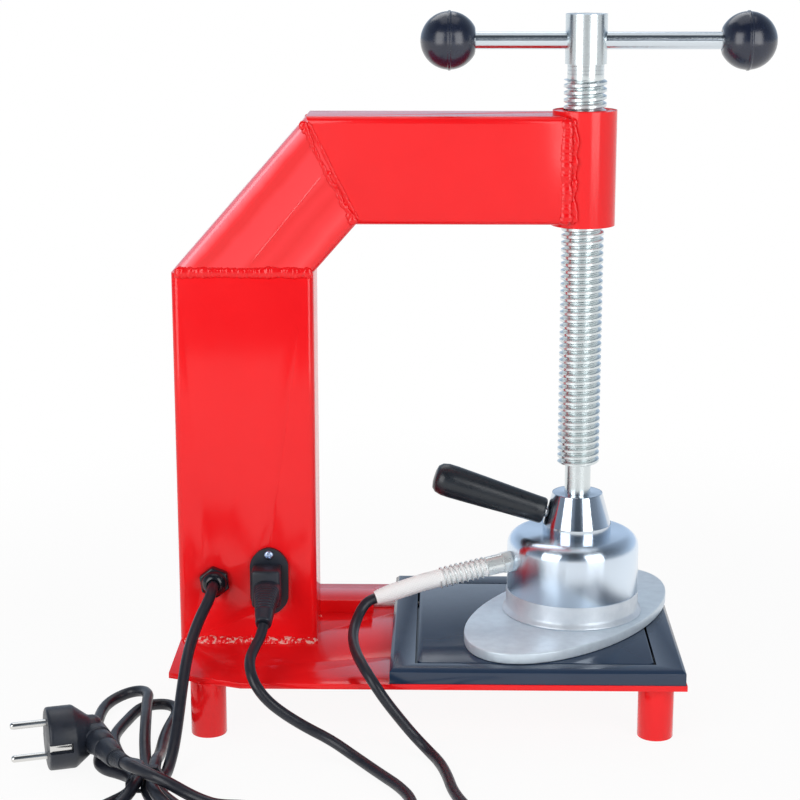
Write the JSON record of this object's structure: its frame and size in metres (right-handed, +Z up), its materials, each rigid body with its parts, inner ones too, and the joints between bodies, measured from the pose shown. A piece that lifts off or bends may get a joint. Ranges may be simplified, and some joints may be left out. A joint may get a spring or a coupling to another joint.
{
  "type": "tire vulcanizing machine",
  "caption": "Benchtop tire repair press: a screw with a sliding cross bar lowers a heated oval shoe onto a heated platform, on a welded arm frame with a control panel and a plug-in head cord",
  "frame": {"origin": "middle of the box of the machine without its cords, at floor level", "axes": "+Z up, +X from the column towards the press screw, -Y the side with the inlet socket"},
  "size_m": [0.5182, 0.398, 0.4958],
  "materials": {
    "red_paint": "bright gloss red enamel over welded steel",
    "slate_paint": "semi-gloss slate black coating on flat machined plate",
    "zinc_steel": "zinc plated turned steel, bright with fine turning marks",
    "bright_chrome": "polished chrome plating",
    "dull_aluminium": "machined cast aluminium, dull",
    "black_knob": "moulded black phenolic, polished, with a mould ridge",
    "black_grip": "moulded black phenolic, satin",
    "black_plastic": "moulded black plastic, satin",
    "cord_black": "black cable sheath, slightly glossy",
    "white_sleeve": "woven white heat-proof sleeving",
    "panel_grey": "brushed steel panel",
    "insulation": "compressed mineral board",
    "heater": "heater foil sheath, browned by heat",
    "brass": "turned brass",
    "nickel": "nickel plated contacts",
    "red_lens": "clear red moulded lens",
    "red_rocker": "translucent red rocker",
    "wire_insulation": "coloured wire insulation"
  },
  "bodies": {
    "frame": {"base_plate": "red_paint", "base_legs": "red_paint", "column_tube": "red_paint", "diagonal_tube": "red_paint", "arm_tube": "red_paint", "nut_boss": "red_paint", "weld_beads": "red_paint", "wire_cover": "red_paint", "platform_lead": "white_sleeve", "platform_frame": "slate_paint", "lower_heating_plate": "slate_paint", "lower_heater": "heater", "lower_insulation": "insulation", "platform_screws": "zinc_steel", "control_panel": "panel_grey", "panel_screws": "zinc_steel", "timer_housing": "black_plastic", "thermostat_housing": "black_plastic", "switch_housings": "black_plastic", "lamp_lenses": "red_lens", "lamp_bodies": "black_plastic", "terminal_block": "black_plastic", "inner_wires": "wire_insulation", "mains_gland": "black_plastic", "mains_gland_nut": "black_plastic", "mains_cord": "cord_black", "mains_hank": "cord_black", "hank_tie": "cord_black", "plug_body": "black_plastic", "plug_pins": "nickel", "plug_earth_clips": "nickel", "inlet_socket": "black_plastic", "inlet_pins": "nickel", "inlet_screws": "zinc_steel", "inlet_nuts": "zinc_steel", "connector": "black_plastic", "connector_contacts": "nickel", "head_cord": "cord_black"},
    "timer_dial": {"timer_knob": "black_knob"},
    "thermostat_dial": {"thermostat_knob": "black_knob"},
    "left_switch": {"left_rocker": "red_rocker"},
    "right_switch": {"right_rocker": "red_rocker"},
    "thrust": {"thrust_washer": "brass"},
    "screw": {"press_screw": "zinc_steel", "retaining_ring": "zinc_steel"},
    "bar": {"tommy_bar": "zinc_steel", "bar_knobs": "black_knob"},
    "head": {"head_collar": "bright_chrome", "head_cap": "bright_chrome", "heater_body": "dull_aluminium", "heating_shoe": "dull_aluminium", "head_heater": "heater", "head_insulation": "insulation", "head_studs": "zinc_steel", "shoe_screws": "zinc_steel", "handle_stud": "zinc_steel", "handle_grip": "black_grip", "head_cable_gland": "zinc_steel", "sleeve_spring": "zinc_steel", "head_sleeve": "white_sleeve"}
  },
  "joints": [
    {"name": "press_travel", "type": "slide", "parent": "frame", "child": "thrust", "axis": [0, 0, 1], "range_m": [0, 0.165]},
    {"name": "screw_turn", "type": "hinge", "parent": "thrust", "child": "screw", "pos_m": [0.0788, 0, 0.13], "axis": [0, 0, 1], "range_deg": [-1, 11882]},
    {"name": "head_turn", "type": "hinge", "parent": "thrust", "child": "head", "pos_m": [0.0788, 0, 0.1], "axis": [0, 0, 1], "range_deg": [-30, 30]},
    {"name": "bar_slide", "type": "slide", "parent": "screw", "child": "bar", "axis": [1, 0, 0], "range_m": [-0.078, 0.061]},
    {"name": "timer_turn", "type": "hinge", "parent": "frame", "child": "timer_dial", "pos_m": [-0.1602, 0.03, 0.172], "axis": [0, -1, 0], "range_deg": [0, 300]},
    {"name": "thermostat_turn", "type": "hinge", "parent": "frame", "child": "thermostat_dial", "pos_m": [-0.1602, 0.03, 0.228], "axis": [0, -1, 0], "range_deg": [0, 270]},
    {"name": "left_switch_rock", "type": "hinge", "parent": "frame", "child": "left_switch", "pos_m": [-0.1782, 0.02355, 0.134], "axis": [-1, 0, 0], "range_deg": [0, 16]},
    {"name": "right_switch_rock", "type": "hinge", "parent": "frame", "child": "right_switch", "pos_m": [-0.1422, 0.02355, 0.134], "axis": [-1, 0, 0], "range_deg": [0, 16]}
  ],
  "couplings": [
    {"joint": "screw_turn", "follows": "press_travel", "rad_per_m": 1256.6}
  ]
}
